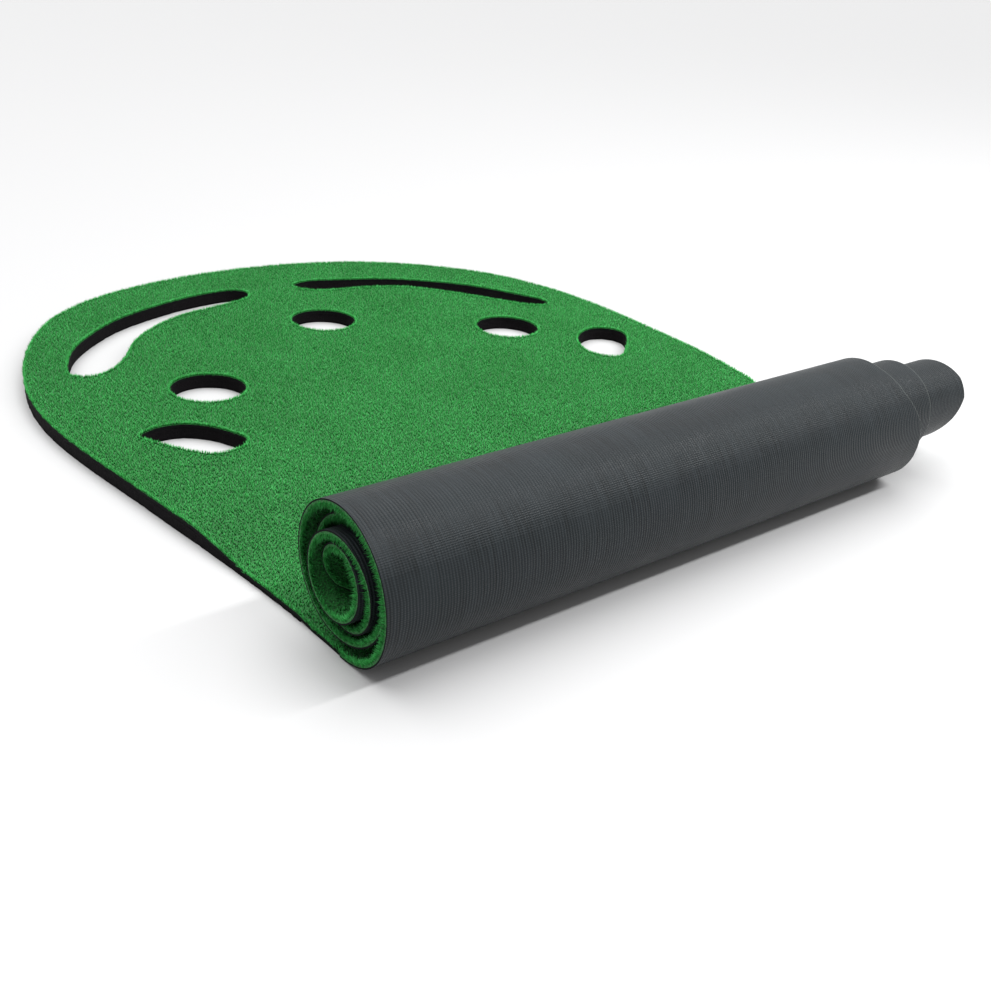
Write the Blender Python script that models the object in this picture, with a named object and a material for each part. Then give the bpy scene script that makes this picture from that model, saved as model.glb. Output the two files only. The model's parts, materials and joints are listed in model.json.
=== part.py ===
"""Kidney-shaped practice putting mat, cup end laid flat and hitting end rolled up.

The mat is one sheet of putting turf (pile tufted into a rubber backing) with a foam pad under its
cup end. Three cups and four bunker cut-outs go through turf and pad. The rolled stretch is a chain of
straight strips, one hinge on the backing between each two, so that it unrolls flat.

Metres, +Z up. The sheet is drawn in its own coordinates: x across it, and v along it from the fold
line, where the roll leaves the floor (v is negative towards the cups, positive into the roll).
The finished mat stands on z = 0 with its bounding box centred on the origin.
"""

import math

import bmesh
import bpy
from mathutils import Vector

# ---- Sheet -----------------------------------------------------------------------------------------
SHEET_WIDTH = 1.050         # at its widest, across the cup end
FLAT_LENGTH = 1.195         # from the cup end to the fold line
TURF_THICKNESS = 0.010      # pile and backing together
FOAM_THICKNESS = 0.016      # pad under the cups
LIP_THICKNESS = 0.003       # skived front edge of the pad
RAMP_TOP_V = -0.307         # where the pad starts to thin out
RAMP_FOOT_V = -0.202        # where it has thinned down to its lip
LIP_END_V = -0.099          # where the pad ends
TOUCHDOWN = 0.021           # from the pad's end to where the turf reaches the floor
CUP_DIAMETER = 0.108        # regulation hole
GAP = 0.0003                # clearance between pieces that touch

# ---- Roll ------------------------------------------------------------------------------------------
ROLL_RADIUS = 0.0907        # outside of the outermost turn, at the fold line
TURN_CLEARANCE = 0.0035     # between one turn's backing and the pile of the turn outside it
OUTER_TURN_SLACK = 0.006    # how much looser the outermost turn is wound
STRIPS_PER_TURN = 12
TURNS = 4

# ---- Plan of the sheet -----------------------------------------------------------------------------
# Points (x, v) on a drawing in millimetres, on which the sheet has the width and flat length below;
# the plan is stretched to SHEET_WIDTH and FLAT_LENGTH. The outline runs clockwise from the straight
# side at the fold line, round the cup end, down the waist and round the hitting end.
DRAWN_WIDTH = 1050.0
DRAWN_FLAT_LENGTH = 1195.0
CUP_END_OUTLINE = [
    (-3, -56), (-12, -206), (-33, -395), (-56, -605), (-52, -740), (-21, -864), (34, -981),
    (106, -1075), (215, -1145), (352, -1185), (486, -1195), (617, -1182), (740, -1142),
    (846, -1070), (932, -970), (978, -849), (994, -724), (990, -564), (975, -404), (932, -224),
]
# On the rolled part v is in millimetres past the fold line round the waist and along the straight
# side, and before the sheet's far end round the hitting end, whatever length the roll takes up.
WAIST_OUTLINE = [(880, -44), (846, 71), (836, 141), (811, 201), (809, 246), (824, 331), (856, 456)]
HITTING_END_OUTLINE = [
    (888, 887), (893, 800), (903, 710), (924, 620), (956, 542), (990, 495), (1000, 460),
    (991, 416), (980, 355), (968, 285), (944, 208), (900, 138), (835, 80), (735, 32), (600, 7),
    (450, 0), (270, -2), (130, -1), (58, 4), (17, 20), (-3, 52), (-9, 115), (-12, 200), (-14, 300),
    (-12, 404), (-6, 500), (0, 620), (3, 760), (1, 890), (-6, 1060),
]
STRAIGHT_SIDE_OUTLINE = [(-10, 246), (-11, 116), (-5, 26)]
OUTLINE_STEPS = 4           # straight pieces between two outline points

# ---- Holes through turf and pad, on the same drawing -----------------------------------------------
CUP_CENTRES = {"near": (179, -675), "far": (487, -864), "right": (755, -693)}
CUP_SIDES = 40
BUNKER_OUTLINES = {
    "comma": [
        (31, -826), (64, -899), (110, -954), (179, -1011), (255, -1048), (335, -1074),
        (416, -1083), (444, -1060), (423, -1025), (352, -1007), (283, -990), (219, -953),
        (165, -904), (126, -846), (93, -810), (60, -794), (36, -803),
    ],
    "sickle": [
        (540, -1061), (581, -1074), (642, -1055), (722, -1025), (786, -979), (845, -922),
        (889, -849), (917, -789), (906, -761), (872, -777), (835, -830), (789, -896),
        (730, -962), (656, -995), (580, -1009), (546, -1032),
    ],
    "leaf": [
        (27, -565), (57, -579), (92, -574), (119, -550), (136, -517), (143, -491), (125, -471),
        (91, -467), (65, -489), (47, -519), (32, -545),
    ],
    "half_round": [
        (802, -537), (814, -570), (843, -602), (885, -619), (917, -605), (924, -575),
        (904, -545), (873, -517), (841, -492), (818, -497), (805, -515),
    ],
}
BUNKER_STEPS = 3

# ---- Finishes: colour, roughness --------------------------------------------------------------------
TURF_FINISH = ("putting_turf", (0.040, 0.250, 0.058), 0.90)
BACKING_FINISH = ("rubber_backing", (0.050, 0.056, 0.062), 0.55)
FOAM_FINISH = ("closed_cell_foam", (0.010, 0.009, 0.011), 0.85)

# ---- Worked out from the sizes above ----------------------------------------------------------------
BEND = 2.0 * math.pi / STRIPS_PER_TURN           # turn of the sheet at each hinge of the closed roll
MITRE = math.tan(BEND / 2.0)                     # how far a strip's pile side is cut back per height
STRIP_COUNT = STRIPS_PER_TURN * TURNS
TURN_PITCH = TURF_THICKNESS + TURN_CLEARANCE
X_SCALE = SHEET_WIDTH / DRAWN_WIDTH              # metres per drawn millimetre across the sheet
V_SCALE = FLAT_LENGTH / DRAWN_FLAT_LENGTH        # and along its flat part
MILLIMETRE = 0.001
CUTTER_MARGIN = 0.100                            # how far blanks and cutters reach past the sheet


def smooth_closed(points, steps):
    """Closed curve through the points, with the given number of straight pieces between each two."""
    curve = []
    count = len(points)
    for i in range(count):
        before, start, end, after = (Vector(points[(i + k) % count]) for k in (-1, 0, 1, 2))
        for step in range(steps):
            t = step / steps
            curve.append(0.5 * (2 * start + (end - before) * t
                                + (2 * before - 5 * start + 4 * end - after) * t ** 2
                                + (3 * start - before - 3 * end + after) * t ** 3))
    return [(point.x, point.y) for point in curve]


def circle(centre, diameter, sides):
    """Points round a circle."""
    radius = diameter / 2.0
    turns = [2.0 * math.pi * i / sides for i in range(sides)]
    return [(centre[0] + radius * math.cos(a), centre[1] + radius * math.sin(a)) for a in turns]


def placed(points):
    """Drawn points of the flat part, at their real size."""
    return [(x * X_SCALE, v * V_SCALE) for x, v in points]


def strip_length(number):
    """Length of a strip along the backing; strips get shorter towards the core."""
    turn = (number - 0.5) / STRIPS_PER_TURN
    radius = ROLL_RADIUS - TURN_PITCH * turn - OUTER_TURN_SLACK * min(turn, 1.0)
    return 2.0 * MITRE * radius


def sheet_outline():
    """The whole mat's edge, laid flat; the strips' lengths say where the hitting end is."""
    end_v = sum(strip_length(number) for number in range(1, STRIP_COUNT + 1))
    waist = [(x * X_SCALE, v * MILLIMETRE) for x, v in WAIST_OUTLINE]
    hitting_end = [(x * X_SCALE, end_v - v * MILLIMETRE) for x, v in HITTING_END_OUTLINE]
    straight_side = [(x * X_SCALE, v * MILLIMETRE) for x, v in STRAIGHT_SIDE_OUTLINE]
    corners = placed(CUP_END_OUTLINE) + waist + hitting_end + straight_side
    return smooth_closed(corners, OUTLINE_STEPS)


def edges_at(outline, v):
    """The sheet's lowest and highest x at one distance along it."""
    crossings = []
    for (x0, v0), (x1, v1) in zip(outline, outline[1:] + outline[:1]):
        if (v0 - v) * (v1 - v) <= 0.0 and v0 != v1:
            crossings.append(x0 + (x1 - x0) * (v - v0) / (v1 - v0))
    return min(crossings), max(crossings)


def new_material(finish):
    """A Principled material from a finish."""
    name, colour, roughness = finish
    material = bpy.data.materials.new(name)
    material.use_nodes = True
    shader = material.node_tree.nodes["Principled BSDF"]
    shader.inputs["Base Color"].default_value = (*colour, 1.0)
    shader.inputs["Roughness"].default_value = roughness
    shader.inputs["Metallic"].default_value = 0.0
    return material


def add_object(name, mesh_data, material, parent):
    """Link a bmesh to the scene as a named object under the datum."""
    bmesh.ops.recalc_face_normals(mesh_data, faces=mesh_data.faces)
    mesh = bpy.data.meshes.new(name)
    mesh_data.to_mesh(mesh)
    mesh_data.free()
    mesh.materials.append(material)
    body = bpy.data.objects.new(name, mesh)
    body.parent = parent
    bpy.context.scene.collection.objects.link(body)
    return body


def prism(ring, axis_offset):
    """Closed prism: a ring of 3-D points extruded by an offset."""
    shape = bmesh.new()
    face = shape.faces.new([shape.verts.new(point) for point in ring])
    swept = bmesh.ops.extrude_face_region(shape, geom=[face])["geom"]
    moved = [item for item in swept if isinstance(item, bmesh.types.BMVert)]
    bmesh.ops.translate(shape, vec=axis_offset, verts=moved)
    return shape


def add_boolean(body, operation, cutter):
    """Cut or trim a body with another object, which stays hidden."""
    step = body.modifiers.new(operation.lower() + "_" + cutter.name, "BOOLEAN")
    step.operation = operation
    step.object = cutter
    step.solver = "EXACT"


def add_cutters(outline, material, datum):
    """Upright prisms for the sheet's outline and for each hole in it."""
    bottom = -CUTTER_MARGIN
    height = 2.0 * CUTTER_MARGIN + FOAM_THICKNESS + TURF_THICKNESS
    plans = {"outline": outline}
    for name, centre in CUP_CENTRES.items():
        plans["cup_" + name] = circle(placed([centre])[0], CUP_DIAMETER, CUP_SIDES)
    for name, points in BUNKER_OUTLINES.items():
        plans["bunker_" + name] = smooth_closed(placed(points), BUNKER_STEPS)
    cutters = {}
    for name, plan in plans.items():
        ring = [(x, -v, bottom) for x, v in plan]
        cutter = add_object("cutter_" + name, prism(ring, (0.0, 0.0, height)), material, datum)
        cutter.hide_render = True
        cutter.display_type = "WIRE"
        cutters[name] = cutter
    return cutters


def add_layer(name, profile, outline, cutters, material, datum):
    """A layer of the laid-out part: its side profile swept across, trimmed to the outline and holed."""
    left = min(x for x, _ in outline) - CUTTER_MARGIN
    right = max(x for x, _ in outline) + CUTTER_MARGIN
    ring = [(left, -v, z) for v, z in profile]
    layer = add_object(name, prism(ring, (right - left, 0.0, 0.0)), material, datum)
    add_boolean(layer, "INTERSECT", cutters["outline"])
    for cutter_name, cutter in cutters.items():
        if cutter_name != "outline":
            add_boolean(layer, "DIFFERENCE", cutter)
    return layer


def foam_profile(cup_end_v):
    """Side view of the pad: full thickness under the cups, a ramp and a thin lip."""
    return [
        (cup_end_v, 0.0), (LIP_END_V, 0.0), (LIP_END_V, LIP_THICKNESS), (RAMP_FOOT_V, LIP_THICKNESS),
        (RAMP_TOP_V, FOAM_THICKNESS), (cup_end_v, FOAM_THICKNESS),
    ]


def flat_turf_profile(cup_end_v):
    """Side view of the laid-out turf: over the pad, down its ramp and on the floor to the fold line."""
    underside = [
        (cup_end_v, FOAM_THICKNESS + GAP), (RAMP_TOP_V, FOAM_THICKNESS + GAP),
        (RAMP_FOOT_V, LIP_THICKNESS + GAP), (LIP_END_V, LIP_THICKNESS + GAP),
        (LIP_END_V + TOUCHDOWN, 0.0),
    ]
    top = [(v, z + TURF_THICKNESS) for v, z in reversed(underside)]
    fold = [(-GAP / 2.0, 0.0), (-GAP / 2.0 - TURF_THICKNESS * MITRE, TURF_THICKNESS)]
    return underside + fold + top


def strip_plan(outline, start_v, length, is_last):
    """A strip's corners (x, distance from its hinge), from the outline at its two ends."""
    near_start, far_start = edges_at(outline, start_v)
    if is_last:
        end_curve = [(x, v - start_v) for x, v in outline if v > start_v + GAP]
        return [(far_start, 0.0)] + end_curve + [(near_start, 0.0)]
    near_end, far_end = edges_at(outline, start_v + length)
    return [(far_start, 0.0), (far_end, length), (near_end, length), (near_start, 0.0)]


def strip_shape(plan, length, is_last):
    """A strip with mitred ends: backing on z = 0, pile side up, running to -Y from its hinge."""
    cut_back = TURF_THICKNESS * MITRE
    shape = bmesh.new()

    def slide(corner, neighbour, distance):
        """Point on the edge from a corner to its neighbour, at a distance along the strip."""
        share = (distance - corner[1]) / (neighbour[1] - corner[1])
        return corner[0] + share * (neighbour[0] - corner[0]), distance

    def ring(start_cut, end_cut, height):
        """The plan at one height, cut back at the hinged ends."""
        points = list(plan)
        points[0] = slide(plan[0], plan[1], start_cut)
        points[-1] = slide(plan[-1], plan[-2], start_cut)
        if not is_last:
            points[1] = slide(plan[1], plan[0], length - end_cut)
            points[2] = slide(plan[2], plan[3], length - end_cut)
        return [shape.verts.new((x, -distance, height)) for x, distance in points]

    half_gap = GAP / 2.0 / math.cos(BEND / 2.0)
    backing = ring(half_gap, half_gap, 0.0)
    pile = ring(half_gap + cut_back, half_gap + cut_back, TURF_THICKNESS)
    shape.faces.new(backing)
    shape.faces.new(reversed(pile))
    for i, corner in enumerate(backing):
        following = (i + 1) % len(backing)
        shape.faces.new([backing[following], corner, pile[i], pile[following]])
    return shape


def add_roll(outline, material, datum):
    """The rolled stretch, strip by strip from the fold line to the core; each origin is on its hinge."""
    hinge = Vector((0.0, 0.0, 0.0))
    start_v = 0.0
    for number in range(1, STRIP_COUNT + 1):
        is_last = number == STRIP_COUNT
        length = strip_length(number)
        plan = strip_plan(outline, start_v, length, is_last)
        strip = add_object(f"turf_strip_{number:02d}", strip_shape(plan, length, is_last),
                           material, datum)
        angle = number * BEND
        strip.location = hinge
        strip.rotation_euler = (-angle, 0.0, 0.0)
        hinge = hinge + length * Vector((0.0, -math.cos(angle), math.sin(angle)))
        start_v += length


def centre_on_origin(datum):
    """Move the datum so that the mat's box stands on z = 0 with its centre above the origin."""
    bpy.context.view_layer.update()
    depsgraph = bpy.context.evaluated_depsgraph_get()
    corners = []
    for body in bpy.context.scene.objects:
        if body.type == "MESH" and not body.hide_render:
            solid = body.evaluated_get(depsgraph)
            corners += [solid.matrix_world @ vertex.co for vertex in solid.data.vertices]
    low = Vector([min(corner[axis] for corner in corners) for axis in range(3)])
    high = Vector([max(corner[axis] for corner in corners) for axis in range(3)])
    datum.location = (-(low.x + high.x) / 2.0, -(low.y + high.y) / 2.0, -low.z)
    bpy.context.view_layer.update()


def main():
    """Build the mat."""
    for leftover in list(bpy.data.objects):
        bpy.data.objects.remove(leftover, do_unlink=True)
    datum = bpy.data.objects.new("mat_datum", None)
    bpy.context.scene.collection.objects.link(datum)
    turf, backing, foam = (new_material(f) for f in (TURF_FINISH, BACKING_FINISH, FOAM_FINISH))
    outline = sheet_outline()
    cup_end_v = min(v for _, v in outline) - CUTTER_MARGIN
    cutters = add_cutters(outline, foam, datum)
    add_layer("foam_pad", foam_profile(cup_end_v), outline, cutters, foam, datum)
    add_layer("turf_flat", flat_turf_profile(cup_end_v), outline, cutters, turf, datum)
    add_roll(outline, backing, datum)
    centre_on_origin(datum)


main()
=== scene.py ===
"""Practice putting mat: cup end laid flat over its foam pad, hitting end rolled up.

Every piece of the sheet is modelled laid flat, in (x, y, height) with y = 0 at the fold line and y
negative into the roll, and is then laid along the sheet's path: over the pad, across the floor and
round the roll. Metres, +Z up, in the CAD model's frame.
"""

import json
import logging
import math
from dataclasses import dataclass, field
from enum import Enum

import bmesh
import bpy
import numpy as np
from mathutils import Matrix, Vector


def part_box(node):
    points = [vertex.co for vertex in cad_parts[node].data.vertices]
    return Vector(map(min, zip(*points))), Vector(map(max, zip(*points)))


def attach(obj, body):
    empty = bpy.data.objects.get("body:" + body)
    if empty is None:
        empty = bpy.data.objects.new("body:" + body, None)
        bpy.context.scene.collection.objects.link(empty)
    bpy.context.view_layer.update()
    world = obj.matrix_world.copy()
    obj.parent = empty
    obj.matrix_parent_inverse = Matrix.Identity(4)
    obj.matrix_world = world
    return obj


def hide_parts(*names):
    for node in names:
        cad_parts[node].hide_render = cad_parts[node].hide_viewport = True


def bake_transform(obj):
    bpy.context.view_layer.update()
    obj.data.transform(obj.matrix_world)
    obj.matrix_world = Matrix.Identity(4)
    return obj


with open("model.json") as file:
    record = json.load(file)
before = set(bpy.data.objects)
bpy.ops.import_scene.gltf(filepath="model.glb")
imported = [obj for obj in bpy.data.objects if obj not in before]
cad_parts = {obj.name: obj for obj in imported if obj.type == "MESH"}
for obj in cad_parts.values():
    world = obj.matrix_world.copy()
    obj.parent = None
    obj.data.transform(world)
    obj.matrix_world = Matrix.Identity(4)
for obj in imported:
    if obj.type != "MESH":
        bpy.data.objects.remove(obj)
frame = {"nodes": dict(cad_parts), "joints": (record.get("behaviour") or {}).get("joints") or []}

log = logging.getLogger("putting_mat")
SEED = 7
ROOT = "root"
STRIPS_PER_TURN = 12.0
WELD = 1e-5          # vertices closer than this are one, metres
TOP_RISE = 0.6       # a face whose normal rises more than this is on the sheet's top
WALL_RISE = 0.3      # a face whose normal rises less than this is a wall


class Slot(Enum):
    """The record's material slots."""

    TURF = "putting_turf"
    BACKING = "rubber_backing"
    FOAM = "closed_cell_foam"


# ---- Working in edit mode ----------------------------
def deselect_all() -> None:
    """Leaves nothing selected and no object active."""
    for obj in bpy.context.selected_objects:
        obj.select_set(False)
    bpy.context.view_layer.objects.active = None


def pick(obj: bpy.types.Object) -> None:
    """Makes one object the only selected one and the active one."""
    deselect_all()
    obj.select_set(True)
    bpy.context.view_layer.objects.active = obj


def read_points(obj: bpy.types.Object) -> np.ndarray:
    """The mesh's vertices as an (n, 3) array."""
    points = np.empty(len(obj.data.vertices) * 3)
    obj.data.vertices.foreach_get("co", points)
    return points.reshape(-1, 3)


def write_points(obj: bpy.types.Object, points: np.ndarray) -> None:
    """Puts the mesh's vertices at the points given."""
    obj.data.vertices.foreach_set("co", points.astype(np.float32).ravel())
    obj.data.update()


def dress(obj: bpy.types.Object, material: bpy.types.Material,
          edge: bpy.types.Material | None = None, cut: np.ndarray | None = None) -> None:
    """Gives a piece its material.

    Args:
        obj: the piece.
        material: its material.
        edge: a second material for its cut edges.
        cut: which faces are cut edges.
    """
    obj.data.materials.clear()
    obj.data.materials.append(material)
    if edge is not None and cut is not None:
        obj.data.materials.append(edge)
        obj.data.polygons.foreach_set("material_index", cut.astype(np.int32))


# ---- Finishes ----------------------------------------
class Bench:
    """A material's node tree, with a few words for wiring it."""

    def __init__(self, name: str) -> None:
        """Starts a material.

        Args:
            name: the material's name.
        """
        self.material = bpy.data.materials.new(name)
        self.material.use_nodes = True
        self.tree = self.material.node_tree
        self.shader = self.tree.nodes["Principled BSDF"]

    def add(self, kind: str, **settings: object) -> bpy.types.Node:
        """Adds a node.

        Args:
            kind: the node type's name without its ShaderNode prefix.
            settings: properties, or input sockets by name with _ for a space.

        Returns:
            The new node.
        """
        node = self.tree.nodes.new("ShaderNode" + kind)
        for key, value in settings.items():
            if key in node.bl_rna.properties:
                setattr(node, key, value)
            else:
                node.inputs[key.replace("_", " ")].default_value = value
        return node

    def wire(self, source: bpy.types.NodeSocket, target: bpy.types.NodeSocket) -> None:
        """Links an output to an input."""
        self.tree.links.new(source, target)

    def ramp(self, source: bpy.types.NodeSocket,
             stops: list[tuple[float, tuple[float, float, float]]]) -> bpy.types.NodeSocket:
        """Turns a value into a colour.

        Args:
            source: the value.
            stops: places along the ramp and their colours.

        Returns:
            The colour's socket.
        """
        node = self.add("ValToRGB")
        elements = node.color_ramp.elements
        while len(elements) < len(stops):
            elements.new(0.5)
        for element, (place, colour) in zip(elements, stops):
            element.position = place
            element.color = (*colour, 1.0)
        self.wire(source, node.inputs["Fac"])
        return node.outputs["Color"]

    def mix(self, factor: float | bpy.types.NodeSocket, first: bpy.types.NodeSocket,
            second: bpy.types.NodeSocket | tuple[float, float, float],
            mode: str = "MIX") -> bpy.types.NodeSocket:
        """Mixes two colours.

        Args:
            factor: how much of the second.
            first: the first colour's socket.
            second: the second colour, or its socket.
            mode: the blend type.

        Returns:
            The mixed colour's socket.
        """
        node = self.add("Mix", data_type="RGBA", blend_type=mode)
        if isinstance(factor, float):
            node.inputs[0].default_value = factor
        else:
            self.wire(factor, node.inputs[0])
        self.wire(first, node.inputs[6])
        if isinstance(second, tuple):
            node.inputs[7].default_value = (*second, 1.0)
        else:
            self.wire(second, node.inputs[7])
        return node.outputs[2]

    def bump(self, height: bpy.types.NodeSocket, distance: float, strength: float,
             below: bpy.types.NodeSocket | None = None) -> bpy.types.NodeSocket:
        """Raises the surface by a value.

        Args:
            height: the value, 0 to 1.
            distance: how high 1 stands, in metres.
            strength: how much of it shows.
            below: the normal of the bump under this one.

        Returns:
            The normal's socket.
        """
        node = self.add("Bump", Distance=distance, Strength=strength)
        self.wire(height, node.inputs["Height"])
        if below is not None:
            self.wire(below, node.inputs["Normal"])
        return node.outputs["Normal"]


@dataclass(frozen=True)
class PileFinish:
    """Curled nylon yarn, painted dark at the root and bright at the tip as painted shade down in
    the pile, a little uneven across the sheet.
    """

    # root is painted shade deep in the pile; middle and tip are the yarn's own greens
    root: tuple[float, float, float] = (0.003, 0.037, 0.007)
    middle: tuple[float, float, float] = (0.025, 0.240, 0.045)
    tip: tuple[float, float, float] = (0.098, 0.490, 0.150)
    mottle: tuple[float, float, float] = (0.62, 0.72, 0.62)
    patch_scale: float = 9.0
    curl_scale: float = 520.0
    roughness: float = 0.75
    specular: float = 0.10

    def yarn(self) -> bpy.types.Material:
        """The tufts' material, which reads each tuft's own shade: its random tone, darkened towards
        the root as painted shade.
        """
        bench = Bench("pile_yarn")
        shade = bench.add("Attribute", attribute_name="shade")
        colour = bench.ramp(shade.outputs["Fac"],
                            [(0.0, self.root), (0.55, self.middle), (1.0, self.tip)])
        place = bench.add("TexCoord")
        patches = bench.add("TexNoise", Scale=self.patch_scale, Detail=4.0)
        bench.wire(place.outputs["Object"], patches.inputs["Vector"])
        # random darker mottle across the sheet, from noise on object coordinates
        amount = bench.add("MapRange", From_Min=0.42, From_Max=0.62, To_Min=0.0, To_Max=0.5)
        bench.wire(patches.outputs["Fac"], amount.inputs["Value"])
        bench.wire(bench.mix(amount.outputs["Result"], colour, self.mottle, "MULTIPLY"),
                   bench.shader.inputs["Base Color"])
        bench.shader.inputs["Roughness"].default_value = self.roughness
        bench.shader.inputs["Specular IOR Level"].default_value = self.specular
        return bench.material

    def ground(self) -> bpy.types.Material:
        """The matted yarn between the tufts' tips, coloured from the root's painted-shade green up
        to the middle green, darker in the hollows of its bump as painted shade.
        """
        bench = Bench("pile_ground")
        place = bench.add("TexCoord")
        curls = bench.add("TexNoise", Scale=self.curl_scale, Detail=3.0, Roughness=0.65)
        bench.wire(place.outputs["Object"], curls.inputs["Vector"])
        # low curls take the root's dark green: painted shade in the hollows between the curls
        bench.wire(bench.ramp(curls.outputs["Fac"], [(0.35, self.root), (0.70, self.middle)]),
                   bench.shader.inputs["Base Color"])
        bench.wire(bench.bump(curls.outputs["Fac"], 0.002, 1.0), bench.shader.inputs["Normal"])
        bench.shader.inputs["Roughness"].default_value = 0.9
        return bench.material


@dataclass(frozen=True)
class BackingFinish:
    """Slate-grey rubber, the ribs of the cloth inside it showing both ways of the weave."""

    # low, the troughs' colour, is partly painted shade; high, the crests' colour, is partly painted
    # highlight and also the worn patches' colour
    low: tuple[float, float, float] = (0.0080, 0.0098, 0.0106)
    high: tuple[float, float, float] = (0.0195, 0.0245, 0.0275)
    # pale colour painted along the backing's edge at the roll's far end
    pale_edge: tuple[float, float, float] = (0.090, 0.100, 0.094)
    rib: float = 0.0036
    pick: float = 0.0024
    streak_scale: tuple[float, float, float] = (260.0, 14.0, 1.0)
    roughness: float = 0.36
    specular: float = 0.14

    def material(self) -> bpy.types.Material:
        """Ribs run along the sheet and finer picks across it, lighter on their crests and darker in
        their troughs, partly the weave's own pattern and partly painted highlight and shade, with
        worn lighter patches.
        """
        bench = Bench("ribbed_rubber")
        sheet = bench.add("UVMap", uv_map="sheet")
        ribs = bench.add("TexWave", bands_direction="X", Scale=math.pi / 10.0 / self.rib,
                         Distortion=1.6, Detail=2.0, Detail_Scale=0.6)
        picks = bench.add("TexWave", bands_direction="Y", Scale=math.pi / 10.0 / self.pick,
                          Distortion=2.2, Detail=2.0, Detail_Scale=1.5)
        stretch = bench.add("Mapping")
        stretch.inputs["Scale"].default_value = self.streak_scale
        streaks = bench.add("TexNoise", Scale=1.0, Detail=3.0)
        cloud = bench.add("TexNoise", Scale=11.0, Detail=5.0)
        for node in (ribs, picks, stretch, cloud):
            bench.wire(sheet.outputs["UV"], node.inputs["Vector"])
        bench.wire(stretch.outputs["Vector"], streaks.inputs["Vector"])
        weave = bench.add("Math", operation="MULTIPLY")
        bench.wire(ribs.outputs["Fac"], weave.inputs[0])
        bench.wire(picks.outputs["Fac"], weave.inputs[1])
        tone = bench.add("Math", operation="MULTIPLY_ADD")
        tone.inputs[1].default_value = 0.45
        bench.wire(weave.outputs[0], tone.inputs[0])
        bench.wire(streaks.outputs["Fac"], tone.inputs[2])
        # colour follows the bump: painted highlight on the crests and painted shade in the troughs,
        # over the weave's pattern
        colour = bench.ramp(tone.outputs[0], [(0.30, self.low), (0.95, self.high)])
        worn = bench.add("MapRange", From_Min=0.45, From_Max=0.75, To_Min=0.0, To_Max=0.55)
        bench.wire(cloud.outputs["Fac"], worn.inputs["Value"])
        surface = bench.mix(worn.outputs["Result"], colour, self.high)
        # a pale line along the backing's edge at the roll's far end
        pale_edge = bench.add("Attribute", attribute_name="pale_edge")
        bench.wire(bench.mix(pale_edge.outputs["Fac"], surface, self.pale_edge),
                   bench.shader.inputs["Base Color"])
        dull = bench.add("MapRange", From_Min=0.3, From_Max=0.7,
                         To_Min=self.roughness - 0.05, To_Max=self.roughness + 0.08)
        bench.wire(cloud.outputs["Fac"], dull.inputs["Value"])
        bench.wire(dull.outputs["Result"], bench.shader.inputs["Roughness"])
        ribbed = bench.bump(ribs.outputs["Fac"], 0.0006, 0.70)
        woven = bench.bump(picks.outputs["Fac"], 0.0003, 0.50, ribbed)
        bench.wire(bench.bump(streaks.outputs["Fac"], 0.0004, 0.30, woven),
                   bench.shader.inputs["Normal"])
        bench.shader.inputs["Specular IOR Level"].default_value = self.specular
        return bench.material

    def shaded_cut_edge(self) -> bpy.types.Material:
        """The rubber's knife-cut edge, duller than its face and darker, the darkness partly the
        rubber's own and partly painted shade on the sheet's cut sides.
        """
        bench = Bench("cut_rubber_painted_shade")
        place = bench.add("TexCoord")
        grain = bench.add("TexNoise", Scale=900.0, Detail=3.0)
        bench.wire(place.outputs["Object"], grain.inputs["Vector"])
        dark, light = (tuple(value * share for value in self.low) for share in (0.2, 0.6))
        bench.wire(bench.ramp(grain.outputs["Fac"], [(0.3, dark), (0.8, light)]),
                   bench.shader.inputs["Base Color"])
        bench.wire(bench.bump(grain.outputs["Fac"], 0.0004, 0.8), bench.shader.inputs["Normal"])
        bench.shader.inputs["Roughness"].default_value = 0.85
        bench.shader.inputs["Specular IOR Level"].default_value = 0.10
        return bench.material


@dataclass(frozen=True)
class FoamFinish:
    """Closed-cell foam, near black, with cut cells open at its walls."""

    skin: tuple[float, float, float] = (0.0020, 0.0016, 0.0021)
    cell: tuple[float, float, float] = (0.0060, 0.0050, 0.0060)
    cell_scale: float = 650.0
    lump_scale: float = 140.0

    def material(self) -> bpy.types.Material:
        """Small round cells over a coarser unevenness, each cell painted darker in its hollow as
        painted shade.
        """
        bench = Bench("black_foam")
        place = bench.add("TexCoord")
        cells = bench.add("TexVoronoi", Scale=self.cell_scale)
        lumps = bench.add("TexNoise", Scale=self.lump_scale, Detail=4.0)
        for node in (cells, lumps):
            bench.wire(place.outputs["Object"], node.inputs["Vector"])
        # dark in each cell's hollow, lighter at its rim: painted shade in the pits
        bench.wire(bench.ramp(cells.outputs["Distance"], [(0.1, self.skin), (0.8, self.cell)]),
                   bench.shader.inputs["Base Color"])
        pitted = bench.bump(cells.outputs["Distance"], 0.0006, 0.7)
        bench.wire(bench.bump(lumps.outputs["Fac"], 0.0015, 0.6, pitted),
                   bench.shader.inputs["Normal"])
        bench.shader.inputs["Roughness"].default_value = 0.90
        bench.shader.inputs["Specular IOR Level"].default_value = 0.10
        return bench.material


@dataclass(frozen=True)
class FloorFinish:
    """Pale studio floor."""

    colour: tuple[float, float, float] = (0.43, 0.43, 0.433)

    def material(self) -> bpy.types.Material:
        """A matt painted sweep with a trace of roller texture."""
        bench = Bench("studio_floor")
        place = bench.add("TexCoord")
        roller = bench.add("TexNoise", Scale=60.0, Detail=3.0)
        bench.wire(place.outputs["Object"], roller.inputs["Vector"])
        bench.wire(bench.bump(roller.outputs["Fac"], 0.0002, 0.1), bench.shader.inputs["Normal"])
        bench.shader.inputs["Base Color"].default_value = (*self.colour, 1.0)
        bench.shader.inputs["Roughness"].default_value = 0.75
        return bench.material


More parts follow.
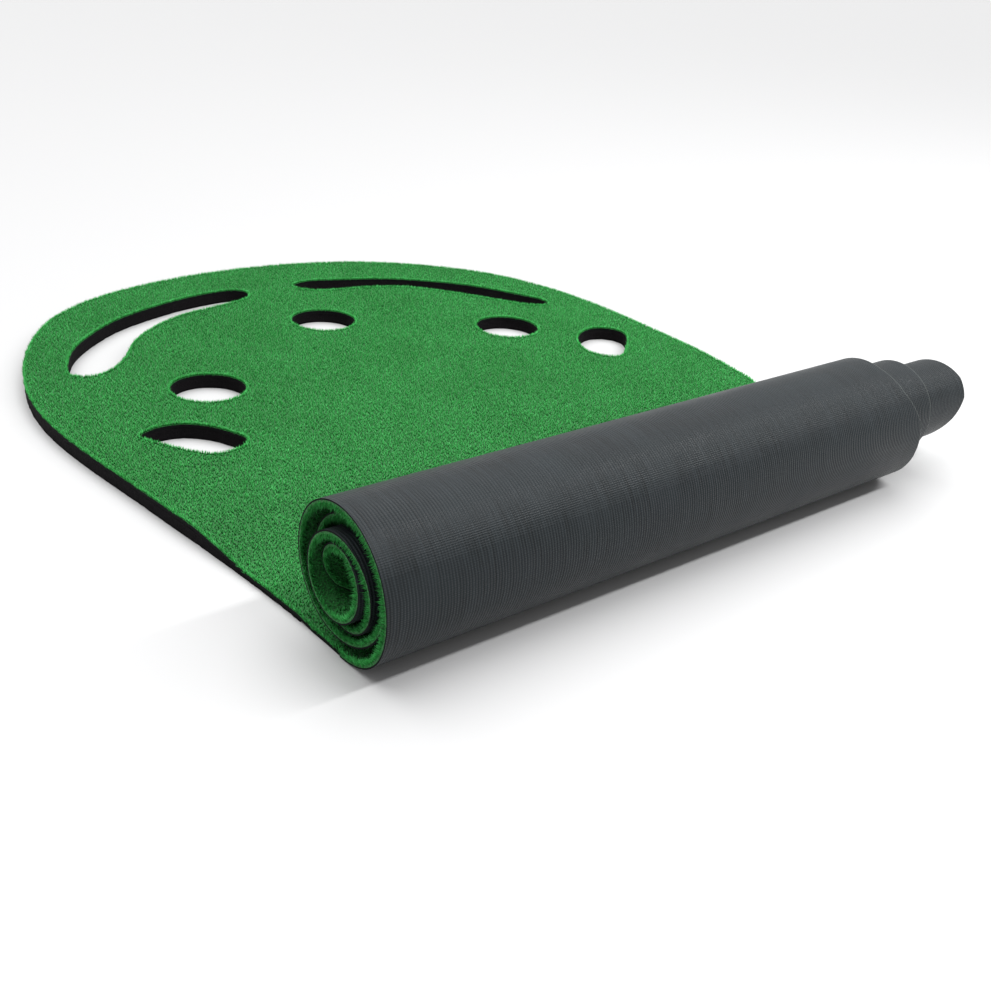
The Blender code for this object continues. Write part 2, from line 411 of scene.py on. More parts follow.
# ---- The sheet's path and outline --------------------
@dataclass
class SheetPath:
    """Where the sheet's underside runs, seen from its end: over the pad, then round the roll.

    Touchdown is how far past the pad's lip the sheet reaches the floor. Reach is the stretch of
    distances from the fold line that the heights are kept for, a grid step apart.
    """

    smoothing: float = 0.008
    touchdown: float = 0.0215
    reach: tuple[float, float] = (-1.30, 0.02)
    grid_step: float = 0.001
    slope_reach: float = 0.002
    hinges: np.ndarray = field(init=False)
    runs: np.ndarray = field(init=False)
    middles: np.ndarray = field(init=False)
    middle_runs: np.ndarray = field(init=False)
    bodies: list[str] = field(init=False)
    length: float = field(init=False)
    grid: np.ndarray = field(init=False)
    heights: np.ndarray = field(init=False)

    def __post_init__(self) -> None:
        """Reads the hinges from the frame and works out the curve through the strips' middles."""
        joints = frame["joints"]
        self.bodies = [ROOT] + [joint["child"] for joint in joints]
        hinges = np.array([joint["pos_m"][1:] for joint in joints])
        before, last = hinges[-2], hinges[-1]
        lengths = np.linalg.norm(np.diff(hinges, axis=0), axis=1)
        bend = 2.0 * math.pi / STRIPS_PER_TURN
        along = (last - before) / lengths[-1]
        turned = np.array([along[0] * math.cos(bend) + along[1] * math.sin(bend),
                           along[1] * math.cos(bend) - along[0] * math.sin(bend)])
        end = last + turned * (2.0 * lengths[-1] - lengths[-2])
        self.hinges = np.vstack([hinges, end])
        lengths = np.linalg.norm(np.diff(self.hinges, axis=0), axis=1)
        self.runs = np.concatenate([[0.0], np.cumsum(lengths)])
        self.length = float(self.runs[-1])
        start = self.hinges[0] + np.array([lengths[0] / 2.0, 0.0])
        self.middles = np.vstack([start, (self.hinges[1:] + self.hinges[:-1]) / 2.0])
        self.middle_runs = np.concatenate([[-lengths[0] / 2.0],
                                           (self.runs[1:] + self.runs[:-1]) / 2.0])
        self._read_heights()

    def _read_heights(self) -> None:
        """Underside heights of the flat part, by distance from the fold line, corners eased."""
        points = read_points(frame["nodes"]["turf_flat"])
        fold = self.hinges[0][0]
        rows: dict[float, float] = {}
        for _, y, z in points:
            run = round(float(fold - y), 4)
            rows[run] = min(rows.get(run, 1.0), float(z))
        keys = sorted(rows)
        grid = np.arange(*self.reach, self.grid_step)
        low = np.array([rows[key] for key in keys])
        heights = np.interp(grid, keys, low)
        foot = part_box("foam_pad")
        edge = fold - foot[0][1]
        heights[grid > edge + self.touchdown] = 0.0
        width = int(self.smoothing / self.grid_step)
        kernel = np.ones(2 * width + 1) / (2 * width + 1)
        padded = np.pad(heights, width, mode="edge")
        self.grid, self.heights = grid, np.convolve(padded, kernel, mode="valid")

    def place(self, flat: np.ndarray) -> np.ndarray:
        """Lays points modelled flat along the path.

        Args:
            flat: (x, y, height) points of the sheet laid flat, y negative into the roll.

        Returns:
            The same points in the CAD model's frame.
        """
        run, height = -flat[:, 1], flat[:, 2]
        over_z = np.interp(run, self.grid, self.heights)
        climb = (np.interp(run + self.slope_reach, self.grid, self.heights)
                 - np.interp(run - self.slope_reach, self.grid, self.heights))
        slope = climb / (2.0 * self.slope_reach)
        point = np.stack([self.hinges[0][0] - run, over_z], axis=1)
        along = np.stack([-np.ones_like(slope), slope], axis=1)
        index = np.clip(np.searchsorted(self.middle_runs, run) - 1, 0, len(self.middle_runs) - 2)
        first, corner, second = self.middles[index], self.hinges[index], self.middles[index + 1]
        t = ((run - self.middle_runs[index])
             / (self.middle_runs[index + 1] - self.middle_runs[index]))[:, None]
        inside = np.clip(t, 0.0, 1.0)
        curved = ((1 - inside) ** 2 * first + 2 * inside * (1 - inside) * corner
                  + inside ** 2 * second)
        tangent = (1 - inside) * (corner - first) + inside * (second - corner)
        tangent = tangent / np.linalg.norm(tangent, axis=1)[:, None]
        beyond = np.maximum(run - self.middle_runs[-1], 0.0)[:, None]
        curved = curved + tangent * beyond
        rolled = (run >= self.middle_runs[0])[:, None]
        point = np.where(rolled, curved, point)
        along = np.where(rolled, tangent, along / np.linalg.norm(along, axis=1)[:, None])
        normal = np.stack([along[:, 1], -along[:, 0]], axis=1)
        out = point + normal * height[:, None]
        return np.stack([flat[:, 0], out[:, 0], out[:, 1]], axis=1)

    def ends(self, number: int) -> tuple[tuple[float, float, float], tuple[float, float, float]]:
        """Where the sheet starts and stops bending at a hinge."""
        a, b = self.middles[number], self.middles[number + 1]
        return (0.0, float(a[0]), float(a[1])), (0.0, float(b[0]), float(b[1]))


@dataclass
class SheetEdges:
    """The sheet's two long edges round the roll, and the flat part's outline and holes."""

    path: SheetPath
    skin: float = 0.001
    row_depth: float = 0.0005
    left: np.ndarray = field(init=False)
    right: np.ndarray = field(init=False)
    loops: list[np.ndarray] = field(init=False)

    def __post_init__(self) -> None:
        """Reads both from the CAD nodes."""
        left: dict[float, float] = {}
        right: dict[float, float] = {}
        for number, body in enumerate(self.path.bodies[1:]):
            points = read_points(frame["nodes"][f"turf_{body}"])
            start = self.path.hinges[number]
            along = self.path.hinges[number + 1] - start
            along = along / np.linalg.norm(along)
            offset = points[:, 1:] - start
            under = offset @ np.array([along[1], -along[0]]) < self.skin
            run = (offset @ along + self.path.runs[number])[under]
            across = points[under, 0]
            middle = across[run > run.max() - self.row_depth].mean()
            for x, where in zip(across, run):
                side, better = (left, min) if x < middle else (right, max)
                key = round(float(where), 3)
                side[key] = better(side.get(key, float(x)), float(x))
        self.left, self.right = (np.array(sorted(side.items())) for side in (left, right))
        self.loops = self._flat_loops()

    def _flat_loops(self) -> list[np.ndarray]:
        """Boundary loops of the flat part's top, each as (x, y) points laid flat."""
        mesh = bmesh.new()
        mesh.from_mesh(frame["nodes"]["turf_flat"].data)
        bmesh.ops.remove_doubles(mesh, verts=mesh.verts, dist=WELD)
        mesh.normal_update()
        top = {face for face in mesh.faces if face.normal.z > TOP_RISE}
        rim = {edge: None for edge in mesh.edges
               if sum(face in top for face in edge.link_faces) == 1}
        loops = []
        while rim:
            edge = rim.popitem()[0]
            first, here = edge.verts[0], edge.verts[1]
            loop = [first, here]
            while here is not first:
                following = next(e for e in here.link_edges if e in rim)
                rim.pop(following)
                here = following.other_vert(here)
                loop.append(here)
            fold = self.path.hinges[0][0]
            loops.append(np.array([[v.co.x, v.co.y - fold] for v in loop[:-1]]))
        mesh.free()
        loops.sort(key=lambda points: -np.ptp(points[:, 1]))
        return loops

    def span(self, run: np.ndarray) -> tuple[np.ndarray, np.ndarray]:
        """The sheet's left and right x at distances past the fold line."""
        left = np.interp(run, self.left[:, 0], self.left[:, 1])
        right = np.interp(run, self.right[:, 0], self.right[:, 1])
        return left, right

    def covers(self, points: np.ndarray) -> np.ndarray:
        """Which (x, y) points of the flat part lie inside its outline and outside its holes."""
        inside = np.zeros(len(points), dtype=bool)
        for loop in self.loops:
            following = np.roll(loop, -1, axis=0)
            for (x0, y0), (x1, y1) in zip(loop, following):
                if y0 == y1:
                    continue
                between = (points[:, 1] >= min(y0, y1)) & (points[:, 1] < max(y0, y1))
                crossing = x0 + (points[between, 1] - y0) * (x1 - x0) / (y1 - y0)
                hits = np.zeros(len(points), dtype=bool)
                hits[between] = points[between, 0] < crossing
                inside ^= hits
        return inside


# ---- Tufts -------------------------------------------
@dataclass
class Tufts:
    """The cut pile: one tapered tuft, copied with its own turn, lean, height and shade.

    Ranges are shares of the size they scale. A clump is a patch of tufts of nearly one shade.
    """

    width: float = 0.0017
    height: float = 0.0062
    root_height: float = 0.0040
    flat_spacing: float = 0.0027
    roll_spacing: float = 0.0034
    edge_spacing: float = 0.0014
    curl: float = 0.0014
    clump: float = 0.0043
    clump_cells: int = 997
    clump_contrast: float = 0.09
    lowest_root: float = 0.0030
    jitter: float = 0.6
    width_range: tuple[float, float] = (0.75, 1.25)
    height_range: tuple[float, float] = (0.72, 1.0)
    shade_middle: float = 0.66
    shade_spread: float = 0.17
    # share of a tuft's tone left at its root, the rest painted shade
    root_shade: float = 0.35
    rim_depth: tuple[float, float] = (0.0008, 0.0030)
    rim_reach: tuple[float, float] = (0.3, 1.0)
    rim_rise: tuple[float, float] = (-0.3, 1.0)
    limit: int = 42000
    corners: np.ndarray = field(init=False)
    faces: np.ndarray = field(init=False)
    random: np.random.Generator = field(init=False)
    clumps: np.ndarray = field(init=False)

    def __post_init__(self) -> None:
        """Models the one tuft: a three-sided cone with its point pulled over."""
        deselect_all()
        bpy.ops.mesh.primitive_cone_add(vertices=3, radius1=0.5, radius2=0.0, depth=1.0,
                                        location=(0.0, 0.0, 0.5))
        tuft = bpy.context.object
        bpy.ops.object.transform_apply(location=True, rotation=True, scale=True)
        self.corners = read_points(tuft)
        mesh = bmesh.new()
        mesh.from_mesh(tuft.data)
        bmesh.ops.triangulate(mesh, faces=mesh.faces)
        self.faces = np.array([[v.index for v in face.verts] for face in mesh.faces])
        mesh.free()
        bpy.data.objects.remove(tuft)
        self.random = np.random.default_rng(SEED)
        self.clumps = self.random.normal(0.0, self.clump_contrast,
                                         (self.clump_cells, self.clump_cells))

    def scatter(self, low: tuple[float, float], high: tuple[float, float],
                spacing: float) -> np.ndarray:
        """Jittered points over a rectangle.

        Args:
            low: its lowest (x, y).
            high: its highest (x, y).
            spacing: the step between points.

        Returns:
            (x, y) points.
        """
        xs = np.arange(low[0], high[0], spacing)
        ys = np.arange(low[1], high[1], spacing)
        grid = np.stack(np.meshgrid(xs, ys), axis=-1).reshape(-1, 2)
        return grid + self.random.uniform(-self.jitter, self.jitter, grid.shape) * spacing

    def plant(self, spots: np.ndarray) -> tuple[np.ndarray, np.ndarray]:
        """Roots for upright tufts at (x, y) spots, and their leans, which are nothing."""
        heights = self.random.uniform(self.lowest_root, self.root_height, (len(spots), 1))
        roots = np.hstack([spots, heights])
        return roots, np.zeros_like(roots)

    def stand(self, name: str, roots: np.ndarray, lean: np.ndarray, path: SheetPath,
              material: bpy.types.Material) -> bpy.types.Object:
        """Copies the tuft to each root.

        Args:
            name: the new object's name.
            roots: (x, y, height) of each tuft's foot, laid flat.
            lean: (x, y, rise) that each tip is pulled by, in metres.
            path: the sheet's path, along which the tufts are laid.
            material: the yarn's material.

        Returns:
            The new object.
        """
        count = len(roots)
        turn = self.random.uniform(0.0, 2.0 * math.pi, count)
        wide = self.width * self.random.uniform(*self.width_range, count)
        tall = self.height * self.random.uniform(*self.height_range, count)
        curl = self.random.normal(0.0, self.curl, (count, 2)) + lean[:, :2]
        tall = tall + lean[:, 2]
        shape = self.corners[None, :, :]
        x = shape[:, :, 0] * np.cos(turn)[:, None] - shape[:, :, 1] * np.sin(turn)[:, None]
        y = shape[:, :, 0] * np.sin(turn)[:, None] + shape[:, :, 1] * np.cos(turn)[:, None]
        z = np.repeat(shape[:, :, 2], count, axis=0)
        points = np.stack([roots[:, None, 0] + x * wide[:, None] + curl[:, None, 0] * z,
                           roots[:, None, 1] + y * wide[:, None] + curl[:, None, 1] * z,
                           roots[:, None, 2] + z * tall[:, None]], axis=-1)
        cells = np.floor(roots[:, :2] / self.clump).astype(np.int64) % self.clumps.shape[0]
        middle = self.shade_middle + self.clumps[cells[:, 0], cells[:, 1]]
        tip_shade = np.clip(self.random.normal(middle, self.shade_spread, count), 0.1, 1.0)
        # the tone falls towards each tuft's root: painted shade down in the pile, over the tuft's
        # random tone
        shade = tip_shade[:, None] * (self.root_shade + (1.0 - self.root_shade) * z)
        size = len(self.corners)
        faces = (self.faces[None] + (np.arange(count) * size)[:, None, None]).reshape(-1)
        mesh = bpy.data.meshes.new(name)
        mesh.vertices.add(count * size)
        placed = path.place(points.reshape(-1, 3))
        mesh.vertices.foreach_set("co", placed.astype(np.float32).ravel())
        mesh.loops.add(len(faces))
        mesh.loops.foreach_set("vertex_index", faces.astype(np.int32))
        mesh.polygons.add(len(faces) // 3)
        mesh.polygons.foreach_set("loop_start", np.arange(0, len(faces), 3, dtype=np.int32))
        mesh.attributes.new("shade", "FLOAT", "POINT").data.foreach_set(
            "value", shade.astype(np.float32).ravel())
        mesh.update(calc_edges=True)
        mesh.validate()
        piece = bpy.data.objects.new(name, mesh)
        bpy.context.scene.collection.objects.link(piece)
        mesh.materials.append(material)
        return piece

    def rim(self, loop: np.ndarray, overhang: float, rows: int, foot_height: float,
            rise: float = 0.0, closed: bool = True) -> tuple[np.ndarray, np.ndarray]:
        """Tufts along a cut edge, leaning out over it.

        Args:
            loop: (x, y) points of the edge, laid flat, with the turf on their left.
            overhang: how far the tips hang past the edge, or below 0 how far they lean back.
            rows: how many rows, one above the other, down the cut face.
            foot_height: how high over the sheet's underside the lowest row is rooted.
            rise: how much taller than the rest of the pile these tufts may be.
            closed: whether the last point joins the first.

        Returns:
            The tufts' roots and leans.
        """
        following = np.roll(loop, -1, axis=0) if closed else loop[1:]
        start = loop if closed else loop[:-1]
        step = following - start
        length = np.linalg.norm(step, axis=1)
        roots, leans = [], []
        for origin, vector, size in zip(start, step, length):
            if size < 1e-6:
                continue
            steps = max(1, int(round(size / self.edge_spacing)))
            count = steps * rows
            slots = np.repeat((np.arange(steps) + 0.5) / steps, rows)
            t = (slots + self.random.uniform(-0.5, 0.5, count) / steps)[:, None]
            out = np.array([vector[1], -vector[0]]) / size
            depth = self.random.uniform(*self.rim_depth, count)[:, None]
            foot = origin + vector * t - out * depth
            height = self.random.uniform(foot_height, self.root_height, count)[:, None]
            roots.append(np.hstack([foot, height]))
            reach = self.random.uniform(*self.rim_reach, count)[:, None]
            leans.append(np.hstack([out * reach * overhang,
                                    self.random.uniform(*self.rim_rise, count)[:, None] * rise]))
        return np.vstack(roots), np.vstack(leans)


@dataclass(frozen=True)
class TurfLook:
    """The sheet's materials."""

    yarn: bpy.types.Material
    ground: bpy.types.Material
    rubber: bpy.types.Material
    # near-black cut-edge material, partly painted shade on the cut sides
    cut: bpy.types.Material


# ---- The flat part -----------------------------------
def signed_area(loop: np.ndarray) -> float:
    """Twice the area of a loop, positive if it runs anticlockwise."""
    following = np.roll(loop, -1, axis=0)
    return float(np.sum(loop[:, 0] * following[:, 1] - following[:, 0] * loop[:, 1]))


def set_sheet_uv(obj: bpy.types.Object, flat: np.ndarray) -> None:
    """Gives a piece a UV map that holds its place on the sheet laid flat, in metres."""
    layer = obj.data.uv_layers.new(name="sheet")
    corners = np.empty(len(obj.data.loops), dtype=np.int32)
    obj.data.loops.foreach_get("vertex_index", corners)
    layer.data.foreach_set("uv", flat[corners][:, :2].astype(np.float32).ravel())


def raise_layer(obj: bpy.types.Object, low: float, high: float,
                path: SheetPath) -> tuple[np.ndarray, np.ndarray]:
    """Makes a flat surface one closed layer of the sheet and lays it along the path.

    Args:
        obj: a surface at height 0, laid flat.
        low: the layer's lower height over the sheet's underside.
        high: its upper height.
        path: the sheet's path.

    Returns:
        The vertices laid flat, and which faces are the layer's edges.
    """
    pick(obj)
    bpy.ops.object.mode_set(mode="EDIT")
    bpy.ops.mesh.select_all(action="SELECT")
    bpy.ops.mesh.extrude_region_move(TRANSFORM_OT_translate={"value": (0.0, 0.0, high - low)})
    bpy.ops.mesh.select_all(action="SELECT")
    bpy.ops.mesh.normals_make_consistent(inside=False)
    bpy.ops.object.mode_set(mode="OBJECT")
    flat = read_points(obj)
    flat[:, 2] += low
    edges = np.array([abs(face.normal.z) < 0.5 for face in obj.data.polygons])
    set_sheet_uv(obj, flat)
    write_points(obj, path.place(flat))
    pick(obj)
    bpy.ops.object.shade_smooth_by_angle(angle=math.radians(40.0))
    return flat, edges


@dataclass
class Layers:
    """Heights of the sheet's layers over its underside."""

    backing: float = 0.0017
    ground: float = 0.0044


@dataclass
class FlatTurf:
    """The stretch of sheet that lies over the pad and on the floor.

    Each rim is how far its tufts hang over the edge and how high the lowest are rooted.
    """

    path: SheetPath
    edges: SheetEdges
    tufts: Tufts
    layers: Layers
    row_step: float = 0.012
    rows_end: float = 0.36
    rim_rows: int = 3
    outer_rim: tuple[float, float] = (0.0016, 0.0020)
    hole_rim: tuple[float, float] = (-0.0004, 0.0036)

    def plan(self, name: str) -> bpy.types.Object:
        """The flat part's surface laid flat at height 0, with rows for its slopes to follow."""
        source = frame["nodes"]["turf_flat"]
        mesh = source.data.copy()
        piece = bpy.data.objects.new(name, mesh)
        bpy.context.scene.collection.objects.link(piece)
        work = bmesh.new()
        work.from_mesh(mesh)
        bmesh.ops.remove_doubles(work, verts=work.verts, dist=WELD)
        work.normal_update()
        below = [face for face in work.faces if face.normal.z <= TOP_RISE]
        bmesh.ops.delete(work, geom=below, context="FACES")
        for vertex in work.verts:
            vertex.co = (vertex.co.x, vertex.co.y - self.path.hinges[0][0], 0.0)
        work.to_mesh(mesh)
        work.free()
        pick(piece)
        bpy.ops.object.mode_set(mode="EDIT")
        fold = -float(self.path.middle_runs[0])
        for row in np.arange(fold, self.rows_end, self.row_step):
            bpy.ops.mesh.select_all(action="SELECT")
            bpy.ops.mesh.bisect(plane_co=(0.0, float(row), 0.0), plane_no=(0.0, 1.0, 0.0),
                                clear_inner=bool(row == fold))
        bpy.ops.object.mode_set(mode="OBJECT")
        return piece

    def build(self, look: TurfLook) -> None:
        """Makes the backing, the pile's ground and the pile, all on the body that stays put.

        Args:
            look: the sheet's materials.
        """
        for name, low, high, material, slot, edge in (
                ("turf_backing_flat", 0.0, self.layers.backing, look.rubber, Slot.BACKING,
                 look.cut),
                # the green ground's cut sides take the near-black cut material: painted shade on
                # them
                ("turf_ground_flat", self.layers.backing, self.layers.ground, look.ground,
                 Slot.TURF, look.cut)):
            piece = self.plan(name)
            _, sides = raise_layer(piece, low, high, self.path)
            dress(piece, material, edge, sides)
            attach(piece, ROOT)
            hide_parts("turf_flat")
            log.info("%s: %d faces", name, len(piece.data.polygons))
        self._pile(look.yarn)

    def _pile(self, yarn: bpy.types.Material) -> None:
        """Stands the tufts over the flat part and round its cut edges."""
        outline = self.edges.loops[0]
        fold = -float(self.path.middle_runs[0])
        spots = self.tufts.scatter((outline[:, 0].min(), fold), tuple(outline.max(axis=0)),
                                   self.tufts.flat_spacing)
        spots = spots[self.edges.covers(spots) & (spots[:, 1] > fold)]
        roots, leans = self.tufts.plant(spots)
        all_roots, all_leans = [roots], [leans]
        for index, loop in enumerate(self.edges.loops):
            wanted = 1.0 if index == 0 else -1.0
            turned = loop if signed_area(loop) * wanted > 0 else loop[::-1]
            overhang, foot = self.outer_rim if index == 0 else self.hole_rim
            rim_roots, rim_leans = self.tufts.rim(turned, overhang, self.rim_rows, foot)
            keep = rim_roots[:, 1] > fold
            all_roots.append(rim_roots[keep])
            all_leans.append(rim_leans[keep])
        roots, leans = np.vstack(all_roots), np.vstack(all_leans)
        order = np.argsort(roots[:, 1])
        parts = np.array_split(order, math.ceil(len(order) / self.tufts.limit))
        for number, part in enumerate(parts):
            piece = self.tufts.stand(f"turf_pile_flat_{number + 1}", roots[part], leans[part],
                                     self.path, yarn)
            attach(piece, ROOT)
            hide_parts("turf_flat")
            log.info("%s: %d tufts", piece.name, len(part))


# ---- The roll ----------------------------------------
@dataclass
class RolledTurf:
    """The rolled stretch, one length of sheet round each hinge."""

    path: SheetPath
    edges: SheetEdges
    tufts: Tufts
    layers: Layers
    columns: int = 24
    rows: int = 6
    pale_edge_width: float = 0.0013
    rim_points: int = 7
    rim_rows: int = 6
    rim_foot: float = 0.0012
    rim_overhang: float = 0.0034
    rim_rise: float = 0.0034

    def length_of_sheet(self, name: str, start: float, stop: float) -> bpy.types.Object:
        """A grid between two distances past the fold line, as wide as the sheet there."""
        deselect_all()
        bpy.ops.mesh.primitive_grid_add(x_subdivisions=self.columns, y_subdivisions=self.rows,
                                        size=1.0, location=(0.0, 0.0, 0.0))
        piece = bpy.context.object
        piece.name = piece.data.name = name
        for layer in list(piece.data.uv_layers):
            piece.data.uv_layers.remove(layer)
        points = read_points(piece)
        run = start + (0.5 - points[:, 1]) * (stop - start)
        left, right = self.edges.span(run)
        across = points[:, 0] + 0.5
        inner = np.rint(across * self.columns) == self.columns - 1
        wide = right - left
        points[:, 0] = left + np.where(inner, 1.0 - self.pale_edge_width / wide, across) * wide
        points[:, 1] = -run
        write_points(piece, points)
        return piece

    def attach(self, piece: bpy.types.Object, number: int) -> None:
        """Bakes a piece's transform into its mesh at its hinge, or puts it on the last strip past
        the last hinge, and hides the CAD strip.

        Args:
            piece: the finished piece.
            number: the hinge's number, from 0.
        """
        bodies = self.path.bodies
        if number < len(bodies) - 1:
            start, end = self.path.ends(number)
            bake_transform(piece)
            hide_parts(f"turf_{bodies[number + 1]}")
        else:
            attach(piece, bodies[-1])
            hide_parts(f"turf_{bodies[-1]}")

    def build(self, look: TurfLook) -> None:
        """Makes every length of the rolled stretch.

        Args:
            look: the sheet's materials.
        """
        breaks = [float(run) for run in self.path.middle_runs] + [self.path.length]
        for number, (start, stop) in enumerate(zip(breaks[:-1], breaks[1:])):
            label = f"{number + 1:02d}"
            backing = self.length_of_sheet(f"turf_backing_{label}", start, stop)
            flat, sides = raise_layer(backing, 0.0, self.layers.backing, self.path)
            dress(backing, look.rubber, look.cut, sides)
            # marks the backing's vertices on its edge at the roll's far end, which are painted pale
            pale_edge = np.abs(flat[:, 0] - self.edges.span(-flat[:, 1])[1]) < WELD
            backing.data.attributes.new("pale_edge", "FLOAT", "POINT").data.foreach_set(
                "value", pale_edge.astype(np.float32))
            self.attach(backing, number)
            mat = self.length_of_sheet(f"turf_pile_{label}", start, stop)
            raise_layer(mat, self.layers.backing, self.layers.ground, self.path)
            mat.data.materials.append(look.ground)
            pile = self._pile(f"tufts_{label}", start, stop, look.yarn)
            pick(mat)
            pile.select_set(True)
            bpy.ops.object.join()
            self.attach(mat, number)
            log.info("%s and %s: %d faces", backing.name, mat.name,
                     len(backing.data.polygons) + len(mat.data.polygons))

    def _pile(self, name: str, start: float, stop: float,
              yarn: bpy.types.Material) -> bpy.types.Object:
        """The tufts of one length, with fringes at its cut edges."""
        left, right = self.edges.span(np.array([start, (start + stop) / 2.0, stop]))
        spots = self.tufts.scatter((left.min(), -stop), (right.max(), -start),
                                   self.tufts.roll_spacing)
        low, high = self.edges.span(-spots[:, 1])
        inside = ((spots[:, 0] > low) & (spots[:, 0] < high)
                  & (-spots[:, 1] >= start) & (-spots[:, 1] <= stop))
        spots = spots[inside]
        upright, still = self.tufts.plant(spots)
        roots, leans = [upright], [still]
        run = np.linspace(start, stop, self.rim_points)
        low, high = self.edges.span(run)
        lines = [np.stack([low, -run], axis=1), np.stack([high, -run], axis=1)[::-1]]
        if stop >= self.path.length - 1e-6:
            lines.append(np.array([[low[-1], -stop], [high[-1], -stop]]))
        for line in lines:
            rim_roots, rim_leans = self.tufts.rim(line, self.rim_overhang, self.rim_rows,
                                                  self.rim_foot, self.rim_rise, closed=False)
            roots.append(rim_roots)
            leans.append(rim_leans)
        return self.tufts.stand(name, np.vstack(roots), np.vstack(leans), self.path, yarn)


# ---- The pad -----------------------------------------
@dataclass
class FoamPad:
    """The foam under the cup end: knife-cut walls, a thinned front edge."""

    cut_step: float = 0.006
    roughness: float = 0.0005
    waist: float = 0.0008
    cut_heights: tuple[float, ...] = (0.004, 0.008, 0.012)
    level: float = 0.001

    def build(self, foam: bpy.types.Material) -> None:
        """Copies the CAD pad, divides its walls finely and roughens them as a blade leaves foam."""
        source = frame["nodes"]["foam_pad"]
        piece = bpy.data.objects.new("pad_foam", source.data.copy())
        bpy.context.scene.collection.objects.link(piece)
        pick(piece)
        bpy.ops.object.mode_set(mode="EDIT")
        bpy.ops.mesh.select_all(action="SELECT")
        bpy.ops.mesh.remove_doubles(threshold=WELD)
        for height in self.cut_heights:
            bpy.ops.mesh.select_all(action="SELECT")
            bpy.ops.mesh.bisect(plane_co=(0.0, 0.0, height), plane_no=(0.0, 0.0, 1.0))
        bpy.ops.object.mode_set(mode="OBJECT")
        self._divide_walls(piece)
        self._roughen(piece)
        pick(piece)
        bpy.ops.object.shade_smooth_by_angle(angle=math.radians(50.0))
        dress(piece, foam)
        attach(piece, ROOT)
        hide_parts("foam_pad")
        log.info("pad_foam: %d faces", len(piece.data.polygons))

    def _divide_walls(self, piece: bpy.types.Object) -> None:
        """Splits the walls' long edges so that no wall face is wider than the cut step."""
        mesh = bmesh.new()
        mesh.from_mesh(piece.data)
        long_edges = [edge for edge in mesh.edges
                      if edge.calc_length() > 1.5 * self.cut_step
                      and any(abs(face.normal.z) < WALL_RISE for face in edge.link_faces)
                      and abs(edge.verts[0].co.z - edge.verts[1].co.z) < self.level]
        by_cuts: dict[int, list[bmesh.types.BMEdge]] = {}
        for edge in long_edges:
            cuts = max(1, int(edge.calc_length() / self.cut_step) - 1)
            by_cuts.setdefault(cuts, []).append(edge)
        for cuts, edges in by_cuts.items():
            bmesh.ops.subdivide_edges(mesh, edges=edges, cuts=cuts, use_grid_fill=False)
        bmesh.ops.triangulate(mesh, faces=[face for face in mesh.faces if len(face.verts) > 4])
        mesh.to_mesh(piece.data)
        mesh.free()

    def _roughen(self, piece: bpy.types.Object) -> None:
        """Draws the walls in a little at mid height, and jitters them inwards."""
        random = np.random.default_rng(SEED)
        mesh = bmesh.new()
        mesh.from_mesh(piece.data)
        mesh.normal_update()
        top = max(vertex.co.z for vertex in mesh.verts)
        for vertex in mesh.verts:
            walls = [face.normal for face in vertex.link_faces if abs(face.normal.z) < WALL_RISE]
            if not walls:
                continue
            out = sum(walls, Vector()) / len(walls)
            out.z = 0.0
            if out.length < 0.1:
                continue
            out.normalize()
            share = vertex.co.z / top
            jitter = abs(random.normal(0.0, self.roughness))
            inward = self.waist * 4.0 * share * (1.0 - share) + jitter
            vertex.co -= out * inward
        mesh.to_mesh(piece.data)
        mesh.free()


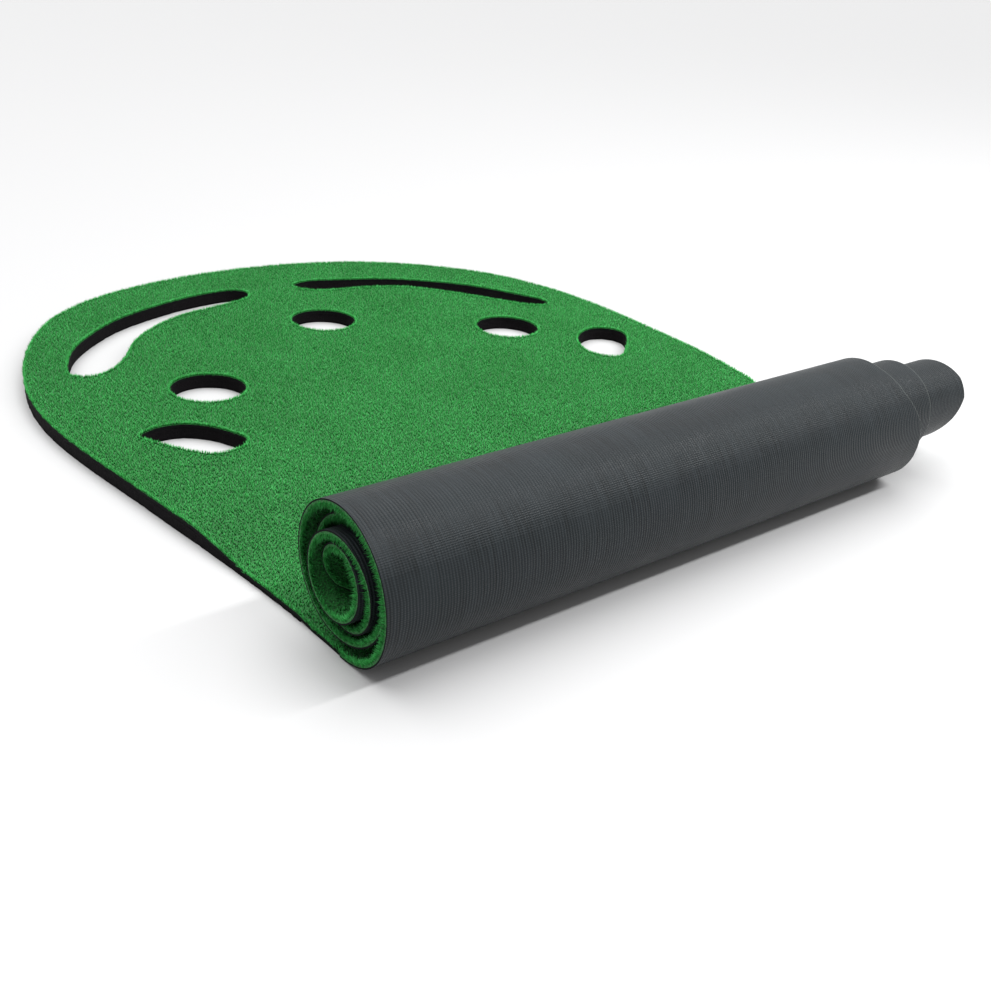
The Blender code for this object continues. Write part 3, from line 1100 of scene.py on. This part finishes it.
# ---- Studio ------------------------------------------
@dataclass
class Studio:
    """Floor, lights and camera."""

    camera_place: tuple[float, float, float] = (-0.99453, -1.35675, 0.67164)
    yaw: float = 40.85
    pitch: float = 26.441
    roll: float = 4.7635
    lens: float = 42.42
    sensor: float = 36.0
    clip_end: float = 200.0
    shift_y: float = -0.003
    floor_size: float = 60.0
    floor_drop: float = 0.0003
    world_strength: float = 0.62
    overhead_power: float = 4.1
    overhead_spread: float = 75.0
    overhead_place: tuple[float, float, float] = (0.3, 0.8, 3.0)
    front_power: float = 95.0
    front_size: tuple[float, float] = (3.4, 0.20)
    front_place: tuple[float, float, float] = (1.5, -1.75, 2.35)

    def camera(self) -> None:
        """Adds the camera at its place and angle."""
        data = bpy.data.cameras.new("camera")
        data.lens, data.sensor_width, data.shift_y = self.lens, self.sensor, self.shift_y
        data.clip_end = self.clip_end
        camera = bpy.data.objects.new("camera", data)
        bpy.context.scene.collection.objects.link(camera)
        yaw, pitch, roll = (math.radians(a) for a in (self.yaw, self.pitch, self.roll))
        ahead = Vector((math.sin(yaw) * math.cos(pitch), math.cos(yaw) * math.cos(pitch),
                        -math.sin(pitch)))
        right = Vector((math.cos(yaw), -math.sin(yaw), 0.0))
        up = right.cross(ahead)
        across = right * math.cos(roll) + up * math.sin(roll)
        upright = up * math.cos(roll) - right * math.sin(roll)
        axes = Matrix((across, upright, -ahead)).transposed().to_4x4()
        camera.matrix_world = Matrix.Translation(self.camera_place) @ axes
        bpy.context.scene.camera = camera

    def floor(self) -> None:
        """Adds the floor."""
        deselect_all()
        bpy.ops.mesh.primitive_plane_add(size=self.floor_size,
                                         location=(0.0, 0.0, -self.floor_drop))
        floor = bpy.context.object
        floor.name = "studio_floor"
        bpy.ops.object.transform_apply(location=True, rotation=True, scale=True)
        floor.data.materials.append(FloorFinish().material())

    def lights(self) -> None:
        """Adds a broad even light overhead, a long softbox in front and an even white surround."""
        world = bpy.data.worlds.new("studio")
        bpy.context.scene.world = world
        world.use_nodes = True
        background = world.node_tree.nodes["Background"]
        background.inputs["Color"].default_value = (1.0, 1.0, 1.0, 1.0)
        background.inputs["Strength"].default_value = self.world_strength
        overhead = bpy.data.lights.new("overhead", "SUN")
        overhead.energy, overhead.angle = self.overhead_power, math.radians(self.overhead_spread)
        front = bpy.data.lights.new("front", "AREA")
        front.shape = "RECTANGLE"
        front.energy, front.size, front.size_y = self.front_power, *self.front_size
        for data, place in ((overhead, self.overhead_place), (front, self.front_place)):
            light = bpy.data.objects.new(data.name, data)
            bpy.context.scene.collection.objects.link(light)
            light.location = place
            down = -Vector((0.0, place[1], place[2]))
            light.rotation_euler = down.to_track_quat("-Z", "Y").to_euler()

    def build(self) -> None:
        """Adds everything that isn't part of the mat."""
        self.camera()
        self.floor()
        self.lights()
        bpy.context.scene.view_settings.view_transform = "Standard"
        log.info("studio: camera, floor and lights")


def main() -> None:
    """Builds and dresses the mat, piece by piece, in its studio."""
    logging.basicConfig(level=logging.INFO, format="%(name)s %(message)s")
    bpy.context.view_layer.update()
    Studio().build()
    path = SheetPath()
    edges = SheetEdges(path)
    tufts = Tufts()
    pile, backing = PileFinish(), BackingFinish()
    look = TurfLook(pile.yarn(), pile.ground(), backing.material(), backing.shaded_cut_edge())
    FlatTurf(path, edges, tufts, Layers()).build(look)
    RolledTurf(path, edges, tufts, Layers()).build(look)
    FoamPad().build(FoamFinish().material())


if __name__ == "__main__":
    main()
